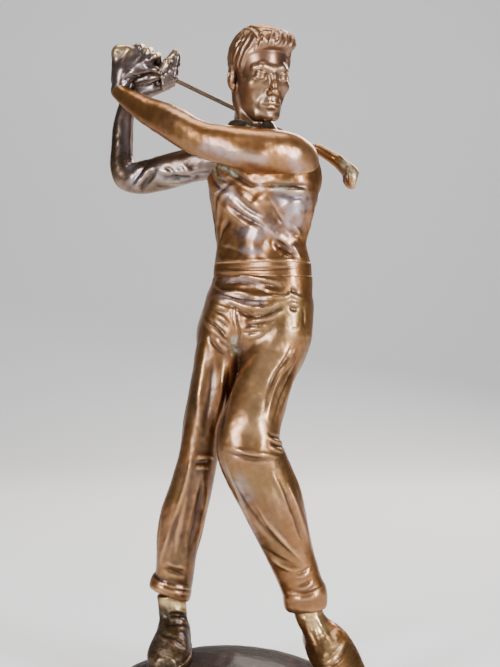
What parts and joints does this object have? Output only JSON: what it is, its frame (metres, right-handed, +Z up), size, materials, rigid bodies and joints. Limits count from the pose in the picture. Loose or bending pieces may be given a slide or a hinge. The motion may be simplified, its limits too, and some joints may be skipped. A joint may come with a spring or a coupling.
{
  "type": "golf trophy figure",
  "caption": "Cast bronzed golfer figure at the top of the backswing, club behind the neck, pinned together from castings and standing on a round domed base.",
  "frame": {"origin": "centre of the flat underside of the round base", "axes": "+Z up through the figure; -Y the way the player faces; +X towards the player's left"},
  "size_m": [0.1, 0.1, 0.2438],
  "materials": {
    "copper_patina": "bronzed copper casting, glossy lacquered brown patina with darker recesses",
    "warm_patina": "bronzed copper casting, patina worn warm orange-brown on the high places",
    "dark_patina": "bronzed copper casting, dark brown patina",
    "worn_copper": "patina rubbed through to bright coppery metal on edges",
    "brass_pin": "plain drawn brass dowel",
    "screw_steel": "plain turned steel screw"
  },
  "bodies": {
    "root": {"base": "dark_patina", "belt": "worn_copper", "club_grip": "dark_patina", "club_head": "worn_copper", "club_shaft": "dark_patina", "collar": "dark_patina", "head": "warm_patina", "left_ankle_pin": "brass_pin", "left_arm": "warm_patina", "left_foot_screw": "screw_steel", "left_hand": "dark_patina", "left_hip_pin": "brass_pin", "left_shoe": "worn_copper", "left_shoulder_pin": "brass_pin", "left_trouser_leg": "warm_patina", "left_wrist_pin": "brass_pin", "neck_pin": "brass_pin", "right_ankle_pin": "brass_pin", "right_arm": "dark_patina", "right_foot_screw": "screw_steel", "right_hand": "dark_patina", "right_hip_pin": "brass_pin", "right_shoe": "warm_patina", "right_shoulder_pin": "brass_pin", "right_trouser_leg": "copper_patina", "right_wrist_pin": "brass_pin", "shirt_body": "copper_patina", "trouser_seat": "copper_patina", "waist_pin": "brass_pin"}
  },
  "joints": []
}
